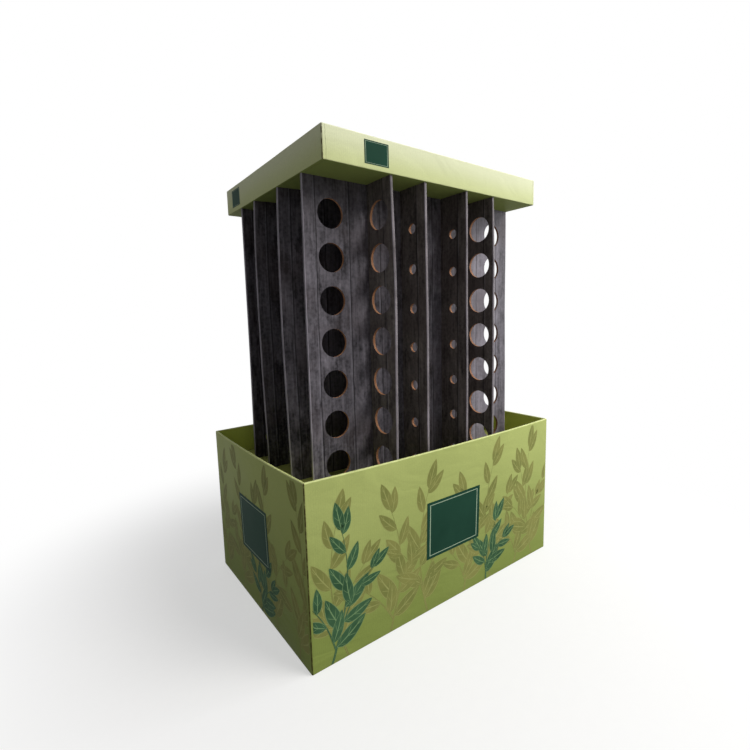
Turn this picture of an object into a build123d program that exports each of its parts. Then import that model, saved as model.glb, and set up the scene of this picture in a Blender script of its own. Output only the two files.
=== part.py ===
"""Floor display stand of corrugated board for bottles.

A deep base tray carries a deck on crossed supports. On the deck stands a rack of eight upright
boards, slotted into each other, that holds bottles lying down: the body in a large hole of an
outer board, the neck lower down in a small hole of the inner board behind it. A shallow header
tray closes the rack. Each piece is one cut and folded sheet.

Millimetres. X runs along the long front, Y into the depth and Z up. The origin is on the floor,
in the middle of the base.
"""

import os

from build123d import *

os.makedirs("parts", exist_ok=True)

# ---- Board and folds ---------------------------------------------------------------------------
ply = 4.0                    # one thickness of corrugated board
ply_gap = 1.0                # air between two plies folded flat on each other
two_ply = 2 * ply + ply_gap
support_board = 7.0          # heavier double-wall board, used flat under the deck
board_fold = 2.5             # outer radius of each score of a folded free edge
tray_fold = 3.0              # outer radius where a tray's floor turns up
tray_corner = 5.0            # outer radius of a tray's upright corners
rim_fold = 4.0               # radius on each side of a rolled-over rim

# ---- Clearances --------------------------------------------------------------------------------
slot_clearance = 0.5         # each side of a board in the slot of another
lap_clearance = 0.5          # between the ends of two slots that meet
tab_clearance = 1.0          # each side of a tab in its slot
deck_clearance = 1.5         # round the deck, inside the tray
support_clearance = 0.5      # between a support's ends and the deck's flanges
foot_clearance = 0.8         # under the rolled-over ply of a tray

# ---- Base tray ---------------------------------------------------------------------------------
tray_length = 1200.0
tray_depth = 800.0
tray_height = 600.0
tray_front_bow = 20.0        # how far the middle of a long rim stands out
tray_side_bow = 10.0         # the same for a short rim

# ---- Deck and supports -------------------------------------------------------------------------
deck_below_rim = 108.0
deck_flange = 60.0           # height of the deck's turned-down edges
deck_corner_cut = 8.0        # gap where two flanges meet
support_long_y = 175.0       # long supports, each side of the middle
support_cross_x = (171.0, 400.0)

# ---- Rack --------------------------------------------------------------------------------------
rack_height = 1002.0
rack_end_space = 105.0       # from the tray's inner wall to the rack, at each end
rack_side_space = 9.0        # the same at front and back
long_inner_y = 98.0          # inner long boards, each side of the middle
cross_inner_x = 99.0         # inner cross boards, each side of the middle
side_fin = 130.0             # free edge of the cross boards to the middle of the outer long board
end_fin = 243.0              # free edge of the long boards to the middle of the outer cross board
tab_length = 60.0
tab_rise = 10.0              # how far the top tabs reach through the header's floor

# ---- Bottle places -----------------------------------------------------------------------------
body_hole = 92.0             # diameter of the holes in the outer boards
neck_hole = 34.0             # diameter of the holes in the inner boards
row_pitch = 135.0
first_row_below_header = 107.0
neck_drop = 29.0             # how much lower the neck hole is than the body hole
hole_from_end = 96.0         # hole column to the free edge of a long board
least_bridge = 10.0          # board left between the lowest hole and the deck

# ---- Header tray -------------------------------------------------------------------------------
header_overhang_x = 4.0      # past the free edges of the long boards
header_overhang_y = 6.0      # past the free edges of the cross boards
header_height = 96.0

# ---- Worked out from the sizes above -----------------------------------------------------------
inside_length = tray_length - 2 * two_ply
inside_depth = tray_depth - 2 * two_ply
deck_top = tray_height - deck_below_rim
deck_length = inside_length - 2 * deck_clearance
deck_depth = inside_depth - 2 * deck_clearance
long_board_length = inside_length - 2 * rack_end_space
cross_board_length = inside_depth - 2 * rack_side_space
long_outer_y = cross_board_length / 2 - side_fin
cross_outer_x = long_board_length / 2 - end_fin
header_length = long_board_length + 2 * header_overhang_x
header_depth = cross_board_length + 2 * header_overhang_y
header_bottom = deck_top + rack_height
long_hole_x = long_board_length / 2 - hole_from_end
cross_hole_y = (long_outer_y + cross_board_length / 2) / 2
long_tabs = (-(cross_outer_x + long_hole_x) / 2, 0.0, (cross_outer_x + long_hole_x) / 2)
cross_tabs = (-cross_hole_y, 0.0, cross_hole_y)

row_room = rack_height - first_row_below_header - body_hole / 2 - least_bridge
row_count = int(row_room // row_pitch) + 1
body_rows = [rack_height - first_row_below_header - row * row_pitch for row in range(row_count)]
neck_rows = [height - neck_drop for height in body_rows]


def save(solid, name):
    """Write one piece to its own STEP file."""
    solid.label = name
    export_step(solid, f"parts/{name}.step")


# ---- Trays with rolled-over walls --------------------------------------------------------------
def side(start, end, bow):
    """One side of a tray's outline, straight or bowed outward in its middle."""
    if bow == 0:
        return Line(start, end)
    along = Vector(*end) - Vector(*start)
    outward = Vector(along.Y, -along.X).normalized()
    middle = (Vector(*start) + Vector(*end)) / 2 + outward * bow
    return ThreePointArc(start, middle, end)


def outline(length, depth, inset, long_bow, short_bow):
    """A tray's outline at one height, set in by a number of millimetres from the outside."""
    x = length / 2 - inset
    y = depth / 2 - inset
    corners = [(-x, -y), (x, -y), (x, y), (-x, y)]
    bows = [long_bow, short_bow, long_bow, short_bow]
    sides = Curve()
    for index in range(4):
        sides += side(corners[index], corners[(index + 1) % 4], bows[index])
    face = make_face(sides)
    return fillet(face.vertices(), max(tray_corner - inset, 0.8))


def tray_block(length, depth, height, inset, long_bow, short_bow):
    """The space inside a tray's outline, straight at the floor and bowed at the rim."""
    foot = outline(length, depth, inset, 0, 0)
    rim = Pos(0, 0, height) * outline(length, depth, inset, long_bow, short_bow)
    return loft(Sketch() + [foot, rim], ruled=True)


def slab(length, depth, low, high):
    """A block that reaches past a tray all round, between two heights."""
    past = 200
    return Pos(0, 0, low) * Box(
        length + past, depth + past, high - low, align=(Align.CENTER, Align.CENTER, Align.MIN)
    )


def roll_over_tray(length, depth, height, long_bow, short_bow):
    """A floor and four walls of two plies: the outer one turns over the rim and hangs inside."""
    outer = tray_block(length, depth, height, 0, long_bow, short_bow)
    behind_outer_ply = tray_block(length, depth, height, ply, long_bow, short_bow)
    before_inner_ply = tray_block(length, depth, height, ply + ply_gap, long_bow, short_bow)
    inside = tray_block(length, depth, height, two_ply, long_bow, short_bow)

    tray = outer - (inside & slab(length, depth, ply, height))
    rim_edges = tray.faces().sort_by(Axis.Z)[-1].edges()
    tray = fillet(rim_edges, min(rim_fold, 0.45 * two_ply))
    foot_edges = tray.faces().sort_by(Axis.Z)[0].outer_wire().edges()
    tray = fillet(foot_edges, tray_fold)

    gap = (behind_outer_ply - before_inner_ply) & slab(length, depth, ply, height - ply)
    under_inner_ply = behind_outer_ply & slab(length, depth, ply, ply + foot_clearance)
    return tray - gap - under_inner_ply


# ---- Base tray ---------------------------------------------------------------------------------
base_tray = roll_over_tray(tray_length, tray_depth, tray_height, tray_front_bow, tray_side_bow)
save(base_tray, "base_tray")


# ---- Tab slots, in the deck and in the header's floor ------------------------------------------
def tab_slots(z):
    """Cutters for the slots that take the tabs of all rack boards, at one sheet's height."""
    long_side = tab_length + 2 * tab_clearance
    short_side = two_ply + 2 * tab_clearance
    cutters = []
    for y in (-long_outer_y, -long_inner_y, long_inner_y, long_outer_y):
        for x in long_tabs:
            cutters.append(Pos(x, y, z) * Box(long_side, short_side, 3 * ply))
    for x in (-cross_outer_x, -cross_inner_x, cross_inner_x, cross_outer_x):
        for y in cross_tabs:
            cutters.append(Pos(x, y, z) * Box(short_side, long_side, 3 * ply))
    return cutters


# ---- Deck: one sheet with its four edges turned down -------------------------------------------
deck_low = deck_top - deck_flange
deck = Pos(0, 0, deck_low + deck_flange / 2) * Box(deck_length, deck_depth, deck_flange)
deck = fillet(deck.faces().sort_by(Axis.Z)[-1].edges(), ply)
deck -= Pos(0, 0, deck_low + (deck_flange - ply) / 2) * Box(
    deck_length - 2 * ply, deck_depth - 2 * ply, deck_flange - ply
)
for corner_x in (-deck_length / 2, deck_length / 2):
    for corner_y in (-deck_depth / 2, deck_depth / 2):
        deck -= Pos(corner_x, corner_y, deck_low + (deck_flange - ply) / 2) * Box(
            2 * deck_corner_cut, 2 * deck_corner_cut, deck_flange - ply
        )
deck -= tab_slots(deck_top - ply / 2)
save(deck, "deck")


# ---- Supports: flat boards on edge, slotted halfway into each other ----------------------------
support_height = deck_top - 2 * ply
support_slot = support_board + 2 * slot_clearance


def support(length, crossings, slots_at_top):
    """A flat board on edge along X, standing on Z = 0, with a slot at each crossing."""
    board = Pos(0, 0, support_height / 2) * Box(length, support_board, support_height)
    slot_depth = support_height / 2 + lap_clearance
    slot_middle = support_height - slot_depth / 2 if slots_at_top else slot_depth / 2
    for x in crossings:
        board -= Pos(x, 0, slot_middle) * Box(support_slot, 2 * support_board, slot_depth)
    return board


long_support_length = deck_length - 2 * ply - 2 * support_clearance
cross_support_length = deck_depth - 2 * ply - 2 * support_clearance
support_cross_places = sorted([-x for x in support_cross_x] + list(support_cross_x))
support_long_places = (-support_long_y, support_long_y)
for number, y in enumerate(support_long_places, start=1):
    board = support(long_support_length, support_cross_places, slots_at_top=True)
    save(Pos(0, y, ply) * board, f"support_long_{number}")
for number, x in enumerate(support_cross_places, start=1):
    board = support(cross_support_length, support_long_places, slots_at_top=False)
    save(Pos(x, 0, ply) * Rot(0, 0, 90) * board, f"support_cross_{number}")


# ---- Rack boards: flat sleeves of two plies, folded at both free edges --------------------------
def rack_board(length, crossings, slots_at_top, tabs, columns, hole, rows):
    """A board along X that stands on Z = 0, cut through both plies."""
    blank = Pos(0, rack_height / 2) * Rectangle(length, rack_height)
    tab_height = rack_height + ply + tab_rise
    for x in tabs:
        blank += Pos(x, tab_height / 2 - ply) * Rectangle(tab_length, tab_height)
    slot_depth = rack_height / 2 + lap_clearance
    slot_middle = rack_height - slot_depth / 2 if slots_at_top else slot_depth / 2
    for x in crossings:
        blank -= Pos(x, slot_middle) * Rectangle(two_ply + 2 * slot_clearance, slot_depth)
    for x in columns:
        for z in rows:
            blank -= Pos(x, z) * Circle(hole / 2)

    wrapped = RectangleRounded(length, two_ply, board_fold)
    sleeve_section = wrapped - Rectangle(length - 2 * ply, ply_gap)
    sleeve = extrude(Pos(0, 0, -ply) * sleeve_section, tab_height)
    return sleeve & extrude(Plane.XZ * blank, two_ply, both=True)


cross_places = (-cross_outer_x, -cross_inner_x, cross_inner_x, cross_outer_x)
long_places = (-long_outer_y, -long_inner_y, long_inner_y, long_outer_y)
long_columns = (-long_hole_x, long_hole_x)
cross_columns = (-cross_hole_y, cross_hole_y)

for number, y in enumerate(long_places, start=1):
    outside = abs(y) == long_outer_y
    hole = body_hole if outside else neck_hole
    rows = body_rows if outside else neck_rows
    board = rack_board(long_board_length, cross_places, False, long_tabs, long_columns, hole, rows)
    save(Pos(0, y, deck_top) * board, f"long_board_{number}")

for number, x in enumerate(cross_places, start=1):
    outside = abs(x) == cross_outer_x
    hole = body_hole if outside else neck_hole
    rows = body_rows if outside else neck_rows
    board = rack_board(cross_board_length, long_places, True, cross_tabs, cross_columns, hole, rows)
    save(Pos(x, 0, deck_top) * Rot(0, 0, 90) * board, f"cross_board_{number}")


# ---- Header tray: right way up, held by the tabs through its floor ------------------------------
header_tray = roll_over_tray(header_length, header_depth, header_height, 0, 0)
header_tray -= tab_slots(ply / 2)
save(Pos(0, 0, header_bottom) * header_tray, "header_tray")
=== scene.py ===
import math
import random

import bmesh
import bpy
from mathutils import Matrix, Vector, noise
from mathutils.bvhtree import BVHTree


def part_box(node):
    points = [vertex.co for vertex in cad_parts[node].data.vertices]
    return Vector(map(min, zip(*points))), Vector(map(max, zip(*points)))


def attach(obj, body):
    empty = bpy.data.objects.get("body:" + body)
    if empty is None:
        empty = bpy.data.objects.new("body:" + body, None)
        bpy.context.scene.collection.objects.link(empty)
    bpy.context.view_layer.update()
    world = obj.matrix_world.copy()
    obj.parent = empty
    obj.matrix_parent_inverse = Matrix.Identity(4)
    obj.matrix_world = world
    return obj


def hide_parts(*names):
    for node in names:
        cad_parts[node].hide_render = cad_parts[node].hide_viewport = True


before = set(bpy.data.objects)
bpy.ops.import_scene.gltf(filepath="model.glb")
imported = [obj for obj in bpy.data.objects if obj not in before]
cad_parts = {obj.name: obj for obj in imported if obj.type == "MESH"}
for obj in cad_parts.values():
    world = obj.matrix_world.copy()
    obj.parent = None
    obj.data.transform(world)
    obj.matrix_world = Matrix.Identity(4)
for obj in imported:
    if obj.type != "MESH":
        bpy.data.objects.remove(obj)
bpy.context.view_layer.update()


# ---- Base tray ---------------------------------------------------------------------------------
# A deep tray cut and creased from one sheet of corrugated board, printed yellow-green and
# varnished. Each wall turns over at the rim and hangs inside, so it is two plies thick. The walls
# have bowed out in use, and between their stiff corners they are no longer quite flat.
def add(tree, kind, inputs=None, out=0, **settings):
    """Add a node with its settings, and values or links for its inputs; returns one output."""
    node = tree.nodes.new(kind)
    for name, value in settings.items():
        setattr(node, name, value)
    for name, value in (inputs or {}).items():
        if isinstance(value, bpy.types.NodeSocket):
            tree.links.new(value, node.inputs[name])
        else:
            node.inputs[name].default_value = value
    return node.outputs[out] if node.outputs else node


def ink(code):
    """The linear colour of an sRGB hex value."""
    levels = [int(code[place:place + 2], 16) / 255 for place in (1, 3, 5)]
    return [v / 12.92 if v <= 0.04045 else ((v + 0.055) / 1.055) ** 2.4 for v in levels] + [1.0]


def new_finish(name):
    """An empty material and its tree, with the output node and a Principled shader joined."""
    material = bpy.data.materials.new(name)
    material.use_nodes = True
    material.node_tree.nodes.clear()
    tree = material.node_tree
    surface = tree.nodes.new("ShaderNodeBsdfPrincipled")
    tree.links.new(surface.outputs[0], tree.nodes.new("ShaderNodeOutputMaterial").inputs[0])
    return material, tree, surface


def folded_sheet(node, name, spacing, ease):
    """A copy of a folded sheet, divided every few centimetres and eased out of true. Its print
    follows the attribute "flat", the place of each point before it was eased, and "inside" marks
    the faces that look towards the middle of the stand."""
    shape = bmesh.new()
    shape.from_mesh(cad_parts[node].data)
    bmesh.ops.remove_doubles(shape, verts=shape.verts, dist=0.00001)
    low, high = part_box(node)
    for axis, step in enumerate(spacing):
        cuts = int((high[axis] - low[axis]) / step)
        normal = Vector([float(axis == other) for other in range(3)])
        for cut in range(1, cuts):
            place = low + (high - low) * cut / cuts
            parts = shape.verts[:] + shape.edges[:] + shape.faces[:]
            bmesh.ops.bisect_plane(shape, geom=parts, dist=0.00001, plane_co=place, plane_no=normal)
    flat = shape.verts.layers.float_vector.new("flat")
    for vertex in shape.verts:
        vertex[flat] = vertex.co
        vertex.co += ease(vertex.co)
    mesh = bpy.data.meshes.new(name)
    shape.to_mesh(mesh)
    shape.free()
    for layer in ("custom_normal", "sharp_edge", "sharp_face"):
        if layer in mesh.attributes:
            mesh.attributes.remove(mesh.attributes[layer])
    mesh.shade_smooth()
    mesh.set_sharp_from_angle(angle=math.radians(28))
    inside = mesh.attributes.new("inside", "FLOAT", "FACE")
    for face in mesh.polygons:
        inside.data[face.index].value = float(face.normal.xy.dot(face.center.xy) < -0.1)
    piece = bpy.data.objects.new(name, mesh)
    bpy.context.scene.collection.objects.link(piece)
    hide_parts(node)
    return piece


FLUTE = 0.0072              # one flute of C board
KRAFT = "#b98a5f"
SATIN = 0.015               # specular level of the print under its worn satin varnish
MATT = 0.10                 # the same for the rack's matt print
RIM_CRACK_AND_HIGHLIGHT = 0.0045         # how far the pale band reaches down from the rim: cracked print, and a painted highlight on the rolled edge
CORNER_SCUFFS = 0.0042      # and from a corner along each wall
SCUFF_FADE = 0.0022         # the scuffs are at their full strength this near a corner
CREASE_FROM_CORNER = 0.0065
CREASE_HALF = 0.0008        # half the width of a crease
CREASE_WANDER = 0.011


def flute_wave(tree, across):
    """Ghosted flutes under the print: a wave across the board, one to each flute."""
    turns = add(tree, "ShaderNodeMath", {0: across, 1: 2 * math.pi / FLUTE}, operation="MULTIPLY")
    return add(tree, "ShaderNodeMath", {0: turns}, operation="SINE")


def tray_print(name, node, foot_code, head_code, rim_crack_and_highlight_code, painted_bounce_inside_code, under_code, with_painted_crease):
    """Offset print on white-lined corrugated board under a satin varnish: darker at the foot and
    paler towards the rim, partly the print's own fade and partly painted shade low down and painted
    light up high; faintly mottled by the paper, with ghosted flutes, cracked pale at the rim, where
    the pale band is also a painted highlight, and brown down the corners. Inward faces take a
    colour of their own, which is painted bounce light, and a crease may be drawn as a line of
    painted shade."""
    material, tree, surface = new_finish(name)
    low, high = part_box(node)
    place = add(tree, "ShaderNodeAttribute", out="Vector", attribute_name="flat")
    x = add(tree, "ShaderNodeSeparateXYZ", {0: place}, out="X")
    y = x.node.outputs["Y"]
    z = x.node.outputs["Z"]
    # Darker at the foot and paler up the wall: partly the print's own fade, partly painted shade
    # low down and painted light near the rim, drifting at random with the cloud.
    rise = add(
        tree, "ShaderNodeMapRange", {0: z, 1: low.z, 2: high.z}, interpolation_type="SMOOTHSTEP"
    )
    cloud = add(tree, "ShaderNodeTexNoise", {"Vector": place, "Scale": 2.1, "Detail": 2.0})
    fade_and_painted_shade = add(tree, "ShaderNodeMath", {0: cloud, 1: 0.5, 2: rise}, operation="MULTIPLY_ADD")
    fade_and_painted_shade = add(tree, "ShaderNodeMath", {0: fade_and_painted_shade, 1: 0.25}, operation="SUBTRACT", use_clamp=True)
    colour = add(
        tree, "ShaderNodeMix", {0: fade_and_painted_shade, 6: ink(foot_code), 7: ink(head_code)}, 2, data_type="RGBA"
    )
    # Faces that look inward take a colour of their own, a paler lime on the base tray: painted
    # bounce light from the green deck and walls.
    inside = add(tree, "ShaderNodeAttribute", out="Fac", attribute_name="inside")
    colour = add(
        tree, "ShaderNodeMix", {0: inside, 6: colour, 7: ink(painted_bounce_inside_code)}, 2, data_type="RGBA"
    )

    mottle = add(tree, "ShaderNodeTexNoise", {"Vector": place, "Scale": 260.0, "Detail": 3.0})
    mottle = add(tree, "ShaderNodeMapRange", {0: mottle, 1: 0.3, 2: 0.7, 3: 0.955, 4: 1.045})
    across = add(tree, "ShaderNodeMath", {0: x, 1: y}, operation="ADD")
    flutes = flute_wave(tree, across)
    ghost = add(tree, "ShaderNodeMath", {0: flutes, 1: 0.010, 2: mottle}, operation="MULTIPLY_ADD")
    colour = add(tree, "ShaderNodeVectorMath", {0: colour, "Scale": ghost}, operation="SCALE")

    # The print has cracked pale along the rim, and the same pale band is a painted highlight on the
    # rolled edge; it has scuffed down to brown at the corners.
    worn = add(tree, "ShaderNodeTexNoise", {"Vector": place, "Scale": 55.0, "Detail": 4.0})
    rim = add(
        tree, "ShaderNodeMapRange", {0: z, 1: high.z - RIM_CRACK_AND_HIGHLIGHT, 2: high.z - 0.0020, 4: 0.85}
    )
    rim = add(tree, "ShaderNodeMath", {0: rim, 1: worn}, operation="MULTIPLY")
    rim = add(tree, "ShaderNodeMath", {0: rim, 1: 1.6}, operation="MULTIPLY", use_clamp=True)
    colour = add(tree, "ShaderNodeMix", {0: rim, 6: colour, 7: ink(rim_crack_and_highlight_code)}, 2, data_type="RGBA")

    edges = []
    for side, reach in ((x, CORNER_X[node]), (y, CORNER_Y[node])):
        out = add(tree, "ShaderNodeMath", {0: side}, operation="ABSOLUTE")
        edges.append(
            add(
                tree, "ShaderNodeMapRange",
                {0: out, 1: reach - CORNER_SCUFFS, 2: reach - SCUFF_FADE}
            )
        )
    corner = add(tree, "ShaderNodeMath", {0: edges[0], 1: edges[1]}, operation="MULTIPLY")
    crack = add(tree, "ShaderNodeMapRange", {0: worn, 1: 0.35, 2: 0.55, 3: 0.35, 4: 0.95})
    corner = add(tree, "ShaderNodeMath", {0: corner, 1: crack}, operation="MULTIPLY")
    colour = add(
        tree, "ShaderNodeMix", {0: corner, 6: colour, 7: ink("#4a3d26")}, 2, data_type="RGBA"
    )

    under = add(tree, "ShaderNodeMath", {0: z, 1: low.z + 0.0006}, operation="LESS_THAN")
    colour = add(
        tree, "ShaderNodeMix", {0: under, 6: colour, 7: ink(under_code)}, 2, data_type="RGBA"
    )
    # A wandering crease beside each corner, where the sheet was folded once before, drawn only as a
    # darker olive line: painted shade.
    if with_painted_crease:
        wave = add(tree, "ShaderNodeTexNoise", {"Vector": place, "Scale": 38.0, "Detail": 2.0})
        wave = add(tree, "ShaderNodeMath", {0: wave, 1: CREASE_WANDER}, operation="MULTIPLY")
        painted_crease_shade = add(tree, "ShaderNodeMath", {0: x}, operation="ABSOLUTE")
        painted_crease_shade = add(tree, "ShaderNodeMath", {0: painted_crease_shade, 1: wave}, operation="ADD")
        painted_crease_shade = add(
            tree, "ShaderNodeMath",
            {0: painted_crease_shade, 1: CORNER_X[node] - CREASE_FROM_CORNER, 2: CREASE_HALF}, operation="COMPARE"
        )
        painted_crease_shade = add(tree, "ShaderNodeMath", {0: painted_crease_shade, 1: worn}, operation="MULTIPLY")
        painted_crease_shade = add(
            tree, "ShaderNodeMath", {0: painted_crease_shade, 1: inside}, operation="SUBTRACT", use_clamp=True
        )
        colour = add(
            tree, "ShaderNodeMix", {0: painted_crease_shade, 6: colour, 7: ink("#6b6f45")}, 2, data_type="RGBA"
        )

    # Soft slack in the wall under the fine relief of flutes and paper.
    relief = add(tree, "ShaderNodeMath", {0: flutes, 1: 0.5, 2: mottle}, operation="MULTIPLY_ADD")
    slack = add(tree, "ShaderNodeVectorMath", {0: place, 1: (5.0, 5.0, 11.0)}, operation="MULTIPLY")
    slack = add(
        tree, "ShaderNodeTexNoise",
        {"Vector": slack, "Scale": 1.0, "Detail": 2.0, "Distortion": 1.2}
    )
    bump = add(tree, "ShaderNodeBump", {"Strength": 0.5, "Distance": 0.006, "Height": slack})
    bump = add(
        tree, "ShaderNodeBump",
        {"Strength": 0.25, "Distance": 0.00012, "Height": relief, "Normal": bump}
    )
    gloss = add(tree, "ShaderNodeMapRange", {0: cloud, 1: 0.3, 2: 0.7, 3: 0.36, 4: 0.50})
    tree.links.new(colour, surface.inputs["Base Color"])
    tree.links.new(gloss, surface.inputs["Roughness"])
    tree.links.new(bump, surface.inputs["Normal"])
    surface.inputs["Specular IOR Level"].default_value = SATIN
    return material


# How far the stiff corners of each tray stand from its middle; the base tray's walls bow past them.
CORNER_X = {"base_tray": 0.600, "header_tray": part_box("header_tray")[1].x}
CORNER_Y = {"base_tray": 0.400, "header_tray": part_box("header_tray")[1].y}
TRAY_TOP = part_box("base_tray")[1].z
STIFF_CORNER = 0.16         # the walls are flat at a corner and fully slack this far from it
STIFF_FOOT = 0.18           # the same from the floor up
TRAY_SLACK = 0.0026         # most that a wall is out of flat
noise.seed_set(5)


def tray_buckle(place):
    """A millimetre or two out of flat: nothing at the floor and at the four stiff corners."""
    corner = math.hypot(
        CORNER_X["base_tray"] - abs(place.x), CORNER_Y["base_tray"] - abs(place.y)
    )
    free = min(1.0, corner / STIFF_CORNER) * min(1.0, place.z / STIFF_FOOT)
    push = noise.noise_vector(place * 2.7) * TRAY_SLACK * free
    return Vector((push.x, push.y, 0.35 * push.z * place.z / TRAY_TOP))


base_tray = folded_sheet("base_tray", "base_tray_sheet", (0.05, 0.05, 0.05), tray_buckle)
# The base's inner faces are painted a paler lime, standing for green light bounced inside the tray,
# and its pale rim band is partly a painted highlight.
base_tray.data.materials.append(
    tray_print(
        "varnished_green_print", "base_tray", "#87954e", "#b2bc73", "#dfe6a4", "#dbe86e", KRAFT,
        False
    )
)
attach(base_tray, "root")


# ---- Print on the base tray --------------------------------------------------------------------
# Slender fronds overprinted in khaki and blue-green on all four walls, rising from the foot of
# the tray, and a plain dark green label field with a fine pale keyline on each wall.

# How far each ink stands off the wall, so that it hides what it covers, and how far each leaf
# lies over the one before.
KHAKI_LIFT = 0.00015
GREEN_LIFT = 0.00045
LABEL_LIFT = 0.0008
HEADER_LABEL_LIFT = 0.0003
LAYER = 0.000008

OUTSIDE = -1.2              # a place in front of a wall, to look at it from
FOOT = 0.004                # the print stops this far above the floor
PRINT_TOP = 0.59            # and this high up the wall
LEAF_HALF_BREADTH = 0.195   # as a part of the leaf's length
LEAF_SPACING = 0.45         # from leaf to leaf along a stem, as a part of the leaf's length
LOWEST_TIP = 0.015          # leaves that would hang lower than this are left out
LONG_STEM = 0.0075
SHORT_STEM = 0.0055


class Wall:
    """One outer wall: places given as along the wall and up it land on the bowed sheet."""

    def __init__(self, turn, sheet, half, top):
        self.turn = Matrix.Rotation(math.radians(turn), 4, "Z")
        self.inward = self.turn @ Vector((0, 1, 0))
        self.sheet = sheet
        self.half = half
        self.top = top

    def land(self, along, up, lift):
        """The place on the sheet at this distance along and up the wall, lifted off it a little."""
        along = max(-self.half, min(self.half, along))
        start = self.turn @ Vector((along, OUTSIDE, max(FOOT, min(self.top, up))))
        found = self.sheet.ray_cast(start, self.inward)[0]
        return found - self.inward * lift


def sheet_tree(piece):
    """A search tree over a piece's faces."""
    shape = bmesh.new()
    shape.from_mesh(piece.data)
    tree = BVHTree.FromBMesh(shape)
    shape.free()
    return tree


def leaf(shape, foot, turn, length, curl, lift, wall):
    """A slender pointed leaf, printed flat on the wall, with its own UV from foot to tip."""
    made = bmesh.ops.create_grid(shape, x_segments=8, y_segments=2, size=0.5, calc_uvs=True)
    ahead = Vector((math.cos(turn), math.sin(turn)))
    aside = Vector((-ahead.y, ahead.x))
    for vertex in made["verts"]:
        run = vertex.co.x + 0.5
        bulge = math.sin(math.pi * run ** 0.8) ** 0.8 if 0 < run < 1 else 0.0
        half = LEAF_HALF_BREADTH * length * bulge
        spot = foot + ahead * run * length + aside * (2 * vertex.co.y * half + curl * run * run)
        vertex.co = wall.land(spot.x, spot.y, lift)


def stem(shape, path, width, lift, wall):
    """A tapering stem along a path of points on the wall."""
    made = bmesh.ops.create_grid(shape, x_segments=24, y_segments=1, size=0.5, calc_uvs=True)
    for vertex in made["verts"]:
        run = vertex.co.x + 0.5
        spot = path(run)
        ahead = (path(run + 0.01) - path(run - 0.01)).normalized()
        side = Vector((-ahead.y, ahead.x)) * vertex.co.y * width * (1.15 - run)
        vertex.co = wall.land(spot.x + side.x, spot.y + side.y, lift)


def frond(shape, foot, reach, sway, leaf_length, lift, wall, draw, shoots):
    """A swaying stem from its foot to its tip, with leaves turn about on each side that shorten
    towards the tip, and perhaps a pair of lesser fronds that spring from it low down."""
    across = Vector((-reach.y, reach.x))

    def path(run):
        return foot + reach * run + across * sway * math.sin(2.6 * run)

    stem(shape, path, LONG_STEM if shoots else SHORT_STEM, lift, wall)
    count = max(4, int(reach.length / (LEAF_SPACING * leaf_length)))
    for place in range(count):
        run = 0.12 + 0.84 * place / (count - 1)
        ahead = path(run + 0.01) - path(run - 0.01)
        side = 1 if place % 2 else -1
        spread = math.radians(54 - 22 * run) * draw.uniform(0.85, 1.15)
        turn = math.atan2(ahead.y, ahead.x) + side * spread
        length = leaf_length * (1.08 - 0.42 * run) * draw.uniform(0.90, 1.08)
        start = path(run)
        if start.y + length * math.sin(turn) > LOWEST_TIP:
            lift += LAYER
            leaf(shape, start, turn, length, -side * 0.14 * length, lift, wall)
    ahead = path(1.0) - path(0.98)
    leaf(shape, path(0.99), math.atan2(ahead.y, ahead.x), 0.75 * leaf_length, 0.0, lift, wall)
    if shoots:
        for run, side in ((0.10, 1), (0.24, -1)):
            turned = Matrix.Rotation(side * math.radians(draw.uniform(30, 42)), 2) @ reach
            shoot = turned * draw.uniform(0.42, 0.56)
            short = 0.85 * leaf_length
            frond(shape, path(run), shoot, -side * 0.10, short, lift, wall, draw, False)


def flat_ink(tree, surface, colour, place, roughness):
    """Give the shader a flat ink's colour and gloss, and the fine tooth of the paper under it."""
    grit = add(tree, "ShaderNodeTexNoise", {"Vector": place, "Scale": 260.0, "Detail": 3.0})
    bump = add(tree, "ShaderNodeBump", {"Strength": 0.25, "Distance": 0.0001, "Height": grit})
    tree.links.new(colour, surface.inputs["Base Color"])
    tree.links.new(bump, surface.inputs["Normal"])
    surface.inputs["Roughness"].default_value = roughness
    surface.inputs["Specular IOR Level"].default_value = SATIN


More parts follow.
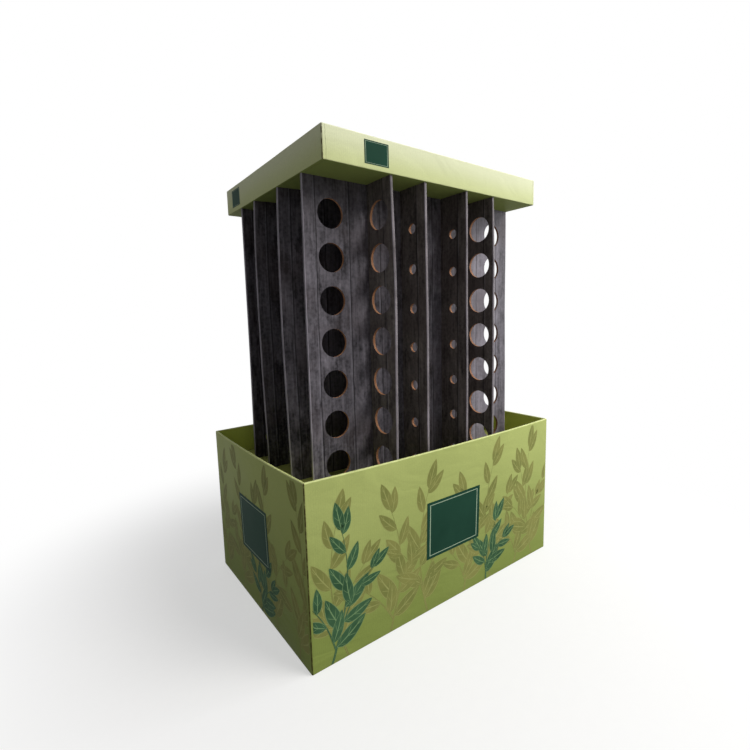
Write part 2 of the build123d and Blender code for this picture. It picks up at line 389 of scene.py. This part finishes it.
def leaf_ink(name, body_code, shade_code, vein_code):
    """Flat offset ink with a paler midrib and side veins left open, satin like the print."""
    material, tree, surface = new_finish(name)
    spot = add(tree, "ShaderNodeUVMap")
    along = add(tree, "ShaderNodeSeparateXYZ", {0: spot}, out="X")
    side = add(tree, "ShaderNodeMath", {0: along.node.outputs["Y"], 1: 0.5}, operation="SUBTRACT")
    side = add(tree, "ShaderNodeMath", {0: side}, operation="ABSOLUTE")
    rib = add(tree, "ShaderNodeMapRange", {0: side, 1: 0.05, 2: 0.025})
    swept = add(tree, "ShaderNodeMath", {0: side, 1: -0.55, 2: along}, operation="MULTIPLY_ADD")
    swept = add(tree, "ShaderNodeMath", {0: swept, 1: 0.17}, operation="PINGPONG")
    veins = add(tree, "ShaderNodeMapRange", {0: swept, 1: 0.016, 2: 0.006})
    reach = add(tree, "ShaderNodeMapRange", {0: side, 1: 0.42, 2: 0.30, 4: 0.8})
    veins = add(tree, "ShaderNodeMath", {0: veins, 1: reach}, operation="MULTIPLY")
    edge = add(tree, "ShaderNodeMapRange", {0: side, 1: 0.44, 2: 0.47, 4: 0.9})
    open_ink = add(tree, "ShaderNodeMath", {0: rib, 1: veins}, operation="MAXIMUM")
    open_ink = add(tree, "ShaderNodeMath", {0: open_ink, 1: edge}, operation="MAXIMUM")
    place = add(tree, "ShaderNodeTexCoord", out="Object")
    cloud = add(tree, "ShaderNodeTexNoise", {"Vector": place, "Scale": 14.0, "Detail": 3.0})
    cloud = add(tree, "ShaderNodeMapRange", {0: cloud, 1: 0.35, 2: 0.65})
    body = add(
        tree, "ShaderNodeMix", {0: cloud, 6: ink(shade_code), 7: ink(body_code)}, 2,
        data_type="RGBA"
    )
    colour = add(
        tree, "ShaderNodeMix", {0: open_ink, 6: body, 7: ink(vein_code)}, 2, data_type="RGBA"
    )
    flat_ink(tree, surface, colour, place, 0.44)
    return material


def printed(shape, name, material):
    """Finish a printed layer as a piece of its own on the tray."""
    bmesh.ops.remove_doubles(shape, verts=shape.verts, dist=0.000001)
    mesh = bpy.data.meshes.new(name)
    shape.to_mesh(mesh)
    shape.free()
    mesh.materials.append(material)
    piece = bpy.data.objects.new(name, mesh)
    bpy.context.scene.collection.objects.link(piece)
    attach(piece, "root")
    return piece


khaki_ink = leaf_ink("khaki_overprint", "#8e8f52", "#7e8349", "#a0a364")
green_ink = leaf_ink("blue_green_overprint", "#46694a", "#38573d", "#7b9a6c")
tray_walls = sheet_tree(base_tray)

# Each frond: its foot along the wall, how far its tip leans from there, its height, its sway to
# one side, and its leaf length, in metres but for the sway.
LONG_KHAKI = (
    (-0.47, 0.00, 0.46, 0.12, 0.140), (-0.30, -0.03, 0.44, -0.14, 0.140),
    (-0.13, 0.03, 0.47, 0.12, 0.145), (0.06, -0.03, 0.40, -0.12, 0.140),
    (0.22, 0.03, 0.49, 0.12, 0.145), (0.37, 0.00, 0.42, -0.14, 0.140),
    (0.50, -0.01, 0.50, 0.10, 0.145),
)
LONG_GREEN = (
    (-0.53, 0.02, 0.43, -0.12, 0.130), (0.19, 0.07, 0.24, 0.12, 0.125),
)
SHORT_KHAKI = (
    (-0.31, 0.03, 0.46, 0.12, 0.140), (-0.15, -0.03, 0.52, -0.12, 0.140),
    (0.02, 0.03, 0.42, 0.10, 0.140), (0.17, -0.02, 0.50, 0.12, 0.140),
    (0.32, 0.00, 0.52, -0.10, 0.140),
)
SHORT_GREEN = ((0.02, 0.05, 0.26, -0.12, 0.120),)
# Each wall: how far it is turned from the front, half the length that its print keeps to, and
# its fronds.
WALLS = (
    ("front", 0, 0.59, LONG_KHAKI, LONG_GREEN), ("right", 90, 0.39, SHORT_KHAKI, SHORT_GREEN),
    ("rear", 180, 0.59, LONG_KHAKI, LONG_GREEN), ("left", 270, 0.39, SHORT_KHAKI, SHORT_GREEN),
)
draw = random.Random(11)
for side_name, turn, half, khaki_fronds, green_fronds in WALLS:
    wall = Wall(turn, tray_walls, half, PRINT_TOP)
    for layer, lift, fronds, finish in (
        ("khaki", KHAKI_LIFT, khaki_fronds, khaki_ink),
        ("green", GREEN_LIFT, green_fronds, green_ink),
    ):
        shape = bmesh.new()
        shape.loops.layers.uv.new("UVMap")
        for foot, lean, height, sway, leaf_length in fronds:
            reach = Vector((lean, height))
            frond(shape, Vector((foot, 0.0)), reach, sway, leaf_length, lift, wall, draw, True)
        printed(shape, f"{side_name}_fronds_{layer}", finish)


def label_ink():
    """Solid dark green ink with a fine pale keyline set in from its edge."""
    material, tree, surface = new_finish("dark_green_label_ink")
    spot = add(tree, "ShaderNodeUVMap")
    u = add(tree, "ShaderNodeSeparateXYZ", {0: spot}, out="X")
    inset = []
    for way in (u, u.node.outputs["Y"]):
        off = add(tree, "ShaderNodeMath", {0: way, 1: 0.5}, operation="SUBTRACT")
        off = add(tree, "ShaderNodeMath", {0: off}, operation="ABSOLUTE")
        inset.append(add(tree, "ShaderNodeMath", {0: 0.5, 1: off}, operation="SUBTRACT"))
    edge = add(tree, "ShaderNodeMath", {0: inset[0], 1: inset[1]}, operation="MINIMUM")
    line = add(tree, "ShaderNodeMath", {0: edge, 1: 0.055, 2: 0.007}, operation="COMPARE")
    place = add(tree, "ShaderNodeTexCoord", out="Object")
    cloud = add(tree, "ShaderNodeTexNoise", {"Vector": place, "Scale": 9.0, "Detail": 4.0})
    body = add(
        tree, "ShaderNodeMix", {0: cloud, 6: ink("#1b3a2e"), 7: ink("#284c3d")}, 2, data_type="RGBA"
    )
    colour = add(tree, "ShaderNodeMix", {0: line, 6: body, 7: ink("#9fb39a")}, 2, data_type="RGBA")
    flat_ink(tree, surface, colour, place, 0.40)
    return material


def label(name, wall, centre, size, lift, finish):
    """A rectangular label field printed on a wall."""
    shape = bmesh.new()
    shape.loops.layers.uv.new("UVMap")
    made = bmesh.ops.create_grid(shape, x_segments=14, y_segments=10, size=0.5, calc_uvs=True)
    for vertex in made["verts"]:
        along = centre[0] + vertex.co.x * size[0]
        up = centre[1] + vertex.co.y * size[1]
        vertex.co = wall.land(along, up, lift)
    return printed(shape, name, finish)


LABEL_HEIGHT = 0.310        # middle of the fields above the floor
LONG_FIELD = (0.275, 0.212)
SHORT_FIELD = (0.250, 0.212)
label_finish = label_ink()
for side_name, turn, half, _, _ in WALLS:
    field = LONG_FIELD if half > 0.5 else SHORT_FIELD
    wall = Wall(turn, tray_walls, half, PRINT_TOP)
    label(f"{side_name}_label", wall, (0.0, LABEL_HEIGHT), field, LABEL_LIFT, label_finish)


# ---- Deck and supports -------------------------------------------------------------------------
# The deck is one sheet with its edges turned down, printed a plain olive on top and bare below.
# It stands on unprinted heavy boards slotted into each other, which only show from underneath.
def deck_print():
    """Olive print, matt and a little dusty, over kraft board with ghosted flutes."""
    material, tree, surface = new_finish("matt_olive_print")
    place = add(tree, "ShaderNodeAttribute", out="Vector", attribute_name="flat")
    x = add(tree, "ShaderNodeSeparateXYZ", {0: place}, out="X")
    top = add(
        tree, "ShaderNodeMath", {0: x.node.outputs["Z"], 1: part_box("deck")[1].z - 0.005},
        operation="GREATER_THAN"
    )
    dust = add(tree, "ShaderNodeTexNoise", {"Vector": place, "Scale": 7.0, "Detail": 5.0})
    olive = add(
        tree, "ShaderNodeMix", {0: dust, 6: ink("#8b9243"), 7: ink("#a3a75a")}, 2, data_type="RGBA"
    )
    colour = add(tree, "ShaderNodeMix", {0: top, 6: ink(KRAFT), 7: olive}, 2, data_type="RGBA")
    bump = add(
        tree, "ShaderNodeBump",
        {"Strength": 0.3, "Distance": 0.00015, "Height": flute_wave(tree, x)}
    )
    tree.links.new(colour, surface.inputs["Base Color"])
    tree.links.new(bump, surface.inputs["Normal"])
    surface.inputs["Roughness"].default_value = 0.62
    return material


DECK_SAG = 0.0012


def deck_sag(place):
    """The deck has sunk by up to a millimetre between its supports."""
    return Vector((0, 0, -DECK_SAG * (0.5 + 0.5 * noise.noise(place * 5.0))))


deck = folded_sheet("deck", "deck_sheet", (0.08, 0.08, 0.06), deck_sag)
deck.data.materials.append(deck_print())
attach(deck, "root")


def bare_kraft():
    """Unprinted kraft liner: warm brown, flecked with darker fibre, quite matt."""
    material, tree, surface = new_finish("bare_kraft_board")
    place = add(tree, "ShaderNodeTexCoord", out="Object")
    x = add(tree, "ShaderNodeSeparateXYZ", {0: place}, out="X")
    fleck = add(tree, "ShaderNodeTexNoise", {"Vector": place, "Scale": 340.0, "Detail": 4.0})
    fleck = add(tree, "ShaderNodeMapRange", {0: fleck, 1: 0.35, 2: 0.65})
    colour = add(
        tree, "ShaderNodeMix", {0: fleck, 6: ink("#9c7048"), 7: ink("#c39a6c")}, 2, data_type="RGBA"
    )
    across = add(tree, "ShaderNodeMath", {0: x, 1: x.node.outputs["Y"]}, operation="ADD")
    bump = add(
        tree, "ShaderNodeBump",
        {"Strength": 0.4, "Distance": 0.0002, "Height": flute_wave(tree, across)}
    )
    tree.links.new(colour, surface.inputs["Base Color"])
    tree.links.new(bump, surface.inputs["Normal"])
    surface.inputs["Roughness"].default_value = 0.85
    return material


kraft_board = bare_kraft()
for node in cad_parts:
    if node.startswith("support_"):
        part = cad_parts[node]
        part.data.materials.clear()
        part.data.materials.append(kraft_board)


# ---- Rack boards -------------------------------------------------------------------------------
# Eight upright sleeves of corrugated board, printed all over with dark weathered planks and die
# cut with bottle holes. They are folded at their free edges, where the print has cracked pale
# along both scores, and slotted halfway into each other. The fins have bent a little in use.
PLANK = 0.123               # width of one printed plank
FIRST_PLANK = 0.043         # the first plank is cut off by the free edge
BOARD = 0.009               # two plies and the air between them
PLY = 0.004
SKIN = 0.00035              # printed paper on each face
FOLD = 0.0030               # the folded free edge, where the print has cracked

# Layers of the plank grain: how fine each is across a plank, from plank to plank and along it, in
# features per metre, and its detail, roughness and distortion.
GRAIN = {
    "streaks": ((105.0, 7.3, 8.0), 6.0, 0.66, 0.0),
    "fibres": ((420.0, 3.1, 16.0), 3.0, 0.5, 0.0),
    "smudges": ((20.0, 5.7, 9.0), 5.0, 0.5, 0.8),
}

# Planks painted paler or darker than the rest to stand for light and shade: painted light on the
# right fin of the front board, where a low lamp from the right falls, and painted shade on the left
# fins of the boards behind it, in the front board's shadow. Each entry: the middle of the band
# along its board, and the shift.
PAINTED_LIGHT_PLANKS = {
    "long_board_1": (0.350, 0.17), "long_board_2": (-0.425, -0.06),
    "long_board_3": (-0.425, -0.06), "long_board_4": (-0.425, -0.06),
}


def plank_print(node, along_x, seed):
    """Weathered plank print on matt corrugated board, with bare kraft in every cut edge. Each
    plank has its own grain; the joints between them wander and are worn along one lip."""
    material, tree, surface = new_finish(f"weathered_plank_print_{node}")
    low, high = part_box(node)
    place = add(tree, "ShaderNodeAttribute", out="Vector", attribute_name="flat")
    x = add(tree, "ShaderNodeSeparateXYZ", {0: place}, out="X")
    y = x.node.outputs["Y"]
    z = x.node.outputs["Z"]
    across, through = (x, y) if along_x else (y, x)
    start, free_end = (low.x, high.x) if along_x else (low.y, high.y)
    middle = (low.y + high.y) / 2 if along_x else (low.x + high.x) / 2
    planks = add(tree, "ShaderNodeMath", {0: across, 1: start + FIRST_PLANK}, operation="SUBTRACT")
    planks = add(tree, "ShaderNodeMath", {0: planks, 1: PLANK}, operation="DIVIDE")
    wander = add(tree, "ShaderNodeTexNoise", {"Vector": place, "Scale": 3.5, "Detail": 1.0})
    planks = add(
        tree, "ShaderNodeMath", {0: wander, 1: 0.035, 2: planks}, operation="MULTIPLY_ADD"
    )
    number = add(tree, "ShaderNodeMath", {0: planks}, operation="FLOOR")
    part = add(tree, "ShaderNodeMath", {0: planks}, operation="FRACT")

    seat = add(tree, "ShaderNodeCombineXYZ", {0: across, 1: number, 2: z})
    layers = {}
    for layer, (rates, detail, roughness, distortion) in GRAIN.items():
        rates = (rates[0], rates[1] + seed, rates[2])
        grain = add(tree, "ShaderNodeVectorMath", {0: seat, 1: rates}, operation="MULTIPLY")
        layers[layer] = add(
            tree, "ShaderNodeTexNoise",
            {
                "Vector": grain, "Scale": 1.0, "Detail": detail, "Roughness": roughness,
                "Distortion": distortion,
            }
        )
    speck = add(tree, "ShaderNodeTexNoise", {"Vector": place, "Scale": 95.0, "Detail": 5.0})
    shade = add(tree, "ShaderNodeMath", {0: number, 1: seed}, operation="ADD")
    shade = add(tree, "ShaderNodeTexWhiteNoise", {"W": shade}, noise_dimensions="1D")
    tone = add(tree, "ShaderNodeMath", {0: layers["streaks"], 1: 0.40}, operation="MULTIPLY")
    for layer, weight in (
        (layers["fibres"], 0.08), (layers["smudges"], 0.42), (speck, 0.26), (shade, 0.06)
    ):
        tone = add(
            tree, "ShaderNodeMath", {0: layer, 1: weight, 2: tone}, operation="MULTIPLY_ADD"
        )
    # Painted light and shade: the front board is paler on its right fin, and the boards behind are
    # darker on their left fins.
    if node in PAINTED_LIGHT_PLANKS:
        band_middle, painted_light_shift = PAINTED_LIGHT_PLANKS[node]
        painted_light_band = add(tree, "ShaderNodeMath", {0: across, 1: band_middle}, operation="SUBTRACT")
        painted_light_band = add(tree, "ShaderNodeMath", {0: painted_light_band}, operation="ABSOLUTE")
        painted_light_band = add(tree, "ShaderNodeMapRange", {0: painted_light_band, 1: 0.090, 2: 0.065, 4: painted_light_shift})
        tone = add(tree, "ShaderNodeMath", {0: tone, 1: painted_light_band}, operation="ADD")
    tone = add(tree, "ShaderNodeMapRange", {0: tone, 1: 0.46, 2: 0.84})
    # The cross boards, whose seen faces are mostly in shade, get a browner copy of the same plank
    # print: a painted tint of shade.
    dark_code, light_code = ("#252326", "#8b868f") if along_x else ("#35302f", "#948c88")
    grey = add(
        tree, "ShaderNodeMix", {0: tone, 6: ink(dark_code), 7: ink(light_code)}, 2, data_type="RGBA"
    )
    rust = add(tree, "ShaderNodeTexNoise", {"Vector": place, "Scale": 5.5, "Detail": 3.0})
    rust = add(tree, "ShaderNodeMapRange", {0: rust, 1: 0.45, 2: 0.75, 4: 0.55})
    colour = add(
        tree, "ShaderNodeMix", {0: rust, 6: grey, 7: ink("#4a3f3f")}, 2, data_type="RGBA"
    )

    # The joint between two planks is a ragged dark line, with a worn paler lip beside it.
    ragged = add(
        tree, "ShaderNodeMath", {0: layers["streaks"], 1: 0.06, 2: part}, operation="MULTIPLY_ADD"
    )
    gap = add(tree, "ShaderNodeMapRange", {0: ragged, 1: 0.074, 2: 0.058, 4: 0.68})
    lip = add(tree, "ShaderNodeMath", {0: part, 1: 0.975, 2: 0.018}, operation="COMPARE")
    wear = add(tree, "ShaderNodeMapRange", {0: layers["streaks"], 1: 0.40, 2: 0.65, 4: 0.45})
    lip = add(tree, "ShaderNodeMath", {0: lip, 1: wear}, operation="MULTIPLY")
    colour = add(
        tree, "ShaderNodeMix", {0: lip, 6: colour, 7: ink("#8d8a94")}, 2, data_type="RGBA"
    )
    colour = add(
        tree, "ShaderNodeMix", {0: gap, 6: colour, 7: ink("#0d0c0d")}, 2, data_type="RGBA"
    )

    # At a folded free edge the print has cracked and shows the white paper along both scores.
    depth = add(tree, "ShaderNodeMath", {0: through, 1: middle}, operation="SUBTRACT")
    depth = add(tree, "ShaderNodeMath", {0: depth}, operation="ABSOLUTE")
    reach = add(tree, "ShaderNodeMath", {0: across}, operation="ABSOLUTE")
    at_fold = add(
        tree, "ShaderNodeMath", {0: reach, 1: free_end - FOLD}, operation="GREATER_THAN"
    )
    score = add(tree, "ShaderNodeMapRange", {0: depth, 1: 0.0012, 2: 0.0034, 3: 0.25, 4: 1.0})
    wear = add(
        tree, "ShaderNodeMapRange", {0: layers["streaks"], 1: 0.30, 2: 0.60, 3: 0.25, 4: 0.85}
    )
    worn = add(tree, "ShaderNodeMath", {0: score, 1: wear}, operation="MULTIPLY")
    worn = add(tree, "ShaderNodeMath", {0: worn, 1: at_fold}, operation="MULTIPLY")
    colour = add(
        tree, "ShaderNodeMix", {0: worn, 6: colour, 7: ink("#b3adb8")}, 2, data_type="RGBA"
    )

    # Cut edges show two brown liners and the wave of the medium between them.
    inner = add(tree, "ShaderNodeMath", {0: depth, 1: BOARD / 2 - PLY}, operation="SUBTRACT")
    inner = add(tree, "ShaderNodeMath", {0: inner, 1: PLY}, operation="DIVIDE")
    flutes = flute_wave(tree, across)
    medium = add(tree, "ShaderNodeMath", {0: flutes, 1: 0.36, 2: 0.5}, operation="MULTIPLY_ADD")
    medium = add(tree, "ShaderNodeMath", {0: inner, 1: medium, 2: 0.11}, operation="COMPARE")
    liner = add(tree, "ShaderNodeMath", {0: inner, 1: 0.5}, operation="SUBTRACT")
    liner = add(tree, "ShaderNodeMath", {0: liner}, operation="ABSOLUTE")
    liner = add(tree, "ShaderNodeMath", {0: liner, 1: 0.36}, operation="GREATER_THAN")
    paper = add(tree, "ShaderNodeMath", {0: medium, 1: liner}, operation="MAXIMUM")
    cut = add(
        tree, "ShaderNodeMix", {0: paper, 6: ink("#6f4830"), 7: ink("#c08f6a")}, 2,
        data_type="RGBA"
    )
    is_cut = add(tree, "ShaderNodeMath", {0: depth, 1: BOARD / 2 - SKIN}, operation="LESS_THAN")
    is_cut = add(
        tree, "ShaderNodeMath", {0: is_cut, 1: at_fold}, operation="SUBTRACT", use_clamp=True
    )
    colour = add(tree, "ShaderNodeMix", {0: is_cut, 6: colour, 7: cut}, 2, data_type="RGBA")

    height = add(
        tree, "ShaderNodeMath", {0: flutes, 1: 0.4, 2: layers["fibres"]}, operation="MULTIPLY_ADD"
    )
    bump = add(tree, "ShaderNodeBump", {"Strength": 0.35, "Distance": 0.00015, "Height": height})
    rough = add(tree, "ShaderNodeMapRange", {0: tone, 3: 0.50, 4: 0.66})
    tree.links.new(colour, surface.inputs["Base Color"])
    tree.links.new(rough, surface.inputs["Roughness"])
    tree.links.new(bump, surface.inputs["Normal"])
    surface.inputs["Specular IOR Level"].default_value = MATT
    return material


# How far each board's two free edges have bent sideways at their most, and how far they splay
# outward at the deck, in metres: left and right edges of the long boards from front to back,
# front and rear edges of the cross boards from left to right.
LONG_BENDS = ((0.002, 0.002), (0.026, -0.003), (0.030, 0.005), (-0.010, -0.002))
LONG_SPLAY = ((0.005, 0.009), (0.008, 0.005), (0.008, 0.005), (0.003, 0.006))
CROSS_BENDS = ((0.008, 0.002), (0.002, -0.003), (0.002, 0.003), (0.005, -0.002))
CROSS_SPLAY = ((0.004, 0.003), (0.002, 0.003), (0.003, 0.003), (0.007, 0.004))
RIPPLE = 0.0012             # small waves down a free edge
LONG_TOP = 0.82             # the long boards are still bent under the header
CROSS_TOP = 1.0             # the cross boards are true there
CROSSING_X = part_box("cross_board_4")[0].x
CROSSING_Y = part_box("long_board_4")[0].y


def bent_fins(along_x, bends, splay, crossing, reach, low, high, top, phase):
    """A function that bends a board's two fins outside the crossings, and ripples them a little.
    Top is 1 where the fins are true under the header, and less where they are still bent."""
    def ease(place):
        across = place.x if along_x else place.y
        end = 0 if across < 0 else 1
        out = max(0.0, (abs(across) - crossing) / (reach - crossing))
        rise = min(1.0, max(0.0, (place.z - low) / (high - low)))
        belly = math.sin(math.pi * (top * rise) ** 1.25)
        ripple = RIPPLE * math.sin(9.0 * rise + phase) * belly
        aside = bends[end] * belly * out ** 3 + ripple * out
        ahead = math.copysign(splay[end] * (1 - rise) ** 0.7 * out, across)
        return Vector((ahead, aside, 0)) if along_x else Vector((aside, ahead, 0))
    return ease


rack_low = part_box("deck")[1].z
rack_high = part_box("header_tray")[0].z
for number in (1, 2, 3, 4):
    for along_x, family, bends, splay, crossing in (
        (True, "long_board", LONG_BENDS, LONG_SPLAY, CROSSING_X),
        (False, "cross_board", CROSS_BENDS, CROSS_SPLAY, CROSSING_Y),
    ):
        node = f"{family}_{number}"
        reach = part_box(node)[1].x if along_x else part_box(node)[1].y
        phase = 1.7 * number + (0.9 if along_x else 0.0)
        ease = bent_fins(
            along_x, bends[number - 1], splay[number - 1], crossing, reach, rack_low, rack_high,
            LONG_TOP if along_x else CROSS_TOP, phase
        )
        spacing = (0.06, 1.0, 0.06) if along_x else (1.0, 0.06, 0.06)
        board = folded_sheet(node, f"{node}_sheet", spacing, ease)
        board.data.materials.append(plank_print(node, along_x, number * 1.31))
        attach(board, "root")


# ---- Header tray -------------------------------------------------------------------------------
# A shallow tray, right way up, with the same rolled-over walls as the base. Its colour fades to
# nearly white towards the rim, partly in its print and partly as painted light. The rack's tabs
# come up through slots in its floor.
STIFF_HEADER_CORNER = 0.12
HEADER_SLACK = 0.0014


def header_buckle(place):
    """Slight waves along the walls and the rim, none at the stiff corners."""
    corner = math.hypot(
        CORNER_X["header_tray"] - abs(place.x), CORNER_Y["header_tray"] - abs(place.y)
    )
    free = min(1.0, corner / STIFF_HEADER_CORNER)
    push = noise.noise_vector(place * 5.0) * HEADER_SLACK * free
    return Vector((push.x, push.y, 0.5 * push.z))


header_tray = folded_sheet("header_tray", "header_tray_sheet", (0.05, 0.05, 0.03), header_buckle)
# Only the header gets the crease line of painted shade.
header_tray.data.materials.append(
    tray_print(
        "varnished_pale_print", "header_tray", "#ccd39a", "#dfe3bf", "#f0f3d4", "#dfe3bf",
        "#8f9c58", True
    )
)
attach(header_tray, "root")

header_walls = sheet_tree(header_tray)
header_mid = (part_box("header_tray")[0].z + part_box("header_tray")[1].z) / 2
HEADER_HALF = 0.45          # the print on the header keeps to this half length of a wall
HEADER_PRINT_TOP = header_mid + 0.04
# Each field on the header: how far along its wall from the middle, and its size.
HEADER_LABELS = (
    ("front", 0, -0.302, (0.090, 0.067)), ("right", 90, -0.285, (0.080, 0.064)),
    ("rear", 180, -0.302, (0.090, 0.067)), ("left", 270, -0.285, (0.080, 0.064)),
)
for side_name, turn, along, field in HEADER_LABELS:
    wall = Wall(turn, header_walls, HEADER_HALF, HEADER_PRINT_TOP)
    centre = (along, header_mid)
    label(f"header_{side_name}_label", wall, centre, field, HEADER_LABEL_LIFT, label_finish)


# ---- Room --------------------------------------------------------------------------------------
# A pale seamless floor that fades to the white of the room, a large soft lamp high at the front
# right, a lower and weaker one at the right, and the camera at chest height by the front left
# corner.
def seen_rays(tree):
    """Whether a ray is the camera's own, and whether it is that or a mirrored or refracted one."""
    rays = add(tree, "ShaderNodeLightPath", out="Is Camera Ray")
    seen = rays
    for kind in ("Is Glossy Ray", "Is Transmission Ray"):
        seen = add(
            tree, "ShaderNodeMath", {0: seen, 1: rays.node.outputs[kind]}, operation="MAXIMUM"
        )
    return rays, seen


WHITE_NEAR = 0.52           # how much of the floor's look is the room's white by the stand
FADE_START = 0.8            # it turns white between these distances from the stand's middle
FADE_END = 1.9
BOUNCE = 0.22               # the floor's albedo for light that it throws back on the stand


def seamless_floor():
    """Pale matt floor that carries the stand's shadow and turns white away from it."""
    material, tree, surface = new_finish("pale_seamless_floor")
    output = next(node for node in tree.nodes if node.type == "OUTPUT_MATERIAL")
    place = add(tree, "ShaderNodeTexCoord", out="Object")
    span = add(tree, "ShaderNodeVectorMath", {0: place}, out="Value", operation="LENGTH")
    far = add(
        tree, "ShaderNodeMapRange", {0: span, 1: FADE_START, 2: FADE_END},
        interpolation_type="SMOOTHSTEP"
    )
    far = add(tree, "ShaderNodeMapRange", {0: far, 3: WHITE_NEAR, 4: 1.0})
    rays, seen = seen_rays(tree)
    white = add(tree, "ShaderNodeMath", {0: far, 1: seen}, operation="MULTIPLY")
    glow = add(tree, "ShaderNodeEmission", {"Color": (1, 1, 1, 1), "Strength": 1.0})
    mixed = add(tree, "ShaderNodeMixShader", {0: white, 1: surface.outputs[0], 2: glow})
    tree.links.new(mixed, output.inputs[0])
    grain = add(tree, "ShaderNodeTexNoise", {"Vector": place, "Scale": 30.0, "Detail": 2.0})
    shade = add(
        tree, "ShaderNodeMix", {0: grain, 6: (0.90, 0.90, 0.90, 1), 7: (0.94, 0.94, 0.94, 1)}, 2,
        data_type="RGBA"
    )
    shade = add(
        tree, "ShaderNodeMix", {0: rays, 6: (BOUNCE, BOUNCE, BOUNCE, 1), 7: shade}, 2,
        data_type="RGBA"
    )
    tree.links.new(shade, surface.inputs["Base Color"])
    surface.inputs["Roughness"].default_value = 0.7
    return material


shape = bmesh.new()
bmesh.ops.create_circle(shape, cap_ends=True, segments=96, radius=14.0)
floor_mesh = bpy.data.meshes.new("floor")
shape.to_mesh(floor_mesh)
shape.free()
floor_mesh.materials.append(seamless_floor())
floor = bpy.data.objects.new("floor", floor_mesh)
bpy.context.scene.collection.objects.link(floor)

ROOM_LIGHT = 0.23           # light of the room; it looks white all the same
world = bpy.data.worlds.new("room")
bpy.context.scene.world = world
world.use_nodes = True
room = world.node_tree
room.nodes.clear()
_, seen = seen_rays(room)
strength = add(room, "ShaderNodeMapRange", {0: seen, 3: ROOM_LIGHT, 4: 1.0})
sky = add(room, "ShaderNodeBackground", {"Color": (1.0, 1.0, 1.0, 1.0), "Strength": strength})
add(room, "ShaderNodeOutputWorld", {0: sky})

# Each lamp: where it stands, the point it faces, its size, its power and its colour.
LAMPS = (
    ("key", (3.1, -4.4, 5.3), (0.0, 0.0, 0.8), 4.6, 460, (1.0, 0.98, 0.95)),
    ("window", (4.6, -1.9, 1.9), (0.2, 0.0, 1.0), 1.6, 105, (0.96, 0.98, 1.0)),
)
for name, stand, target, size, power, tint in LAMPS:
    lamp = bpy.data.lights.new(name, "AREA")
    lamp.shape = "DISK"
    lamp.size = size
    lamp.energy = power
    lamp.color = tint
    holder = bpy.data.objects.new(name, lamp)
    holder.location = stand
    holder.rotation_euler = (Vector(target) - Vector(stand)).to_track_quat("-Z", "Y").to_euler()
    bpy.context.scene.collection.objects.link(holder)

CAMERA_PLACE = (-1.1437, -1.4902, 1.0568)
CAMERA_YAW = 36.46          # degrees from +Y towards +X
CAMERA_PITCH = -7.26
CAMERA_ROLL = -1.48
lens = bpy.data.cameras.new("camera")
lens.sensor_width = 36.0
lens.lens = 21.24
camera = bpy.data.objects.new("camera", lens)
camera.matrix_world = (
    Matrix.Translation(CAMERA_PLACE)
    @ Matrix.Rotation(math.radians(-CAMERA_YAW), 4, "Z")
    @ Matrix.Rotation(math.radians(90 + CAMERA_PITCH), 4, "X")
    @ Matrix.Rotation(math.radians(CAMERA_ROLL), 4, "Z")
)
bpy.context.scene.collection.objects.link(camera)
bpy.context.scene.camera = camera
bpy.context.scene.view_settings.view_transform = "Standard"

bpy.context.view_layer.update()
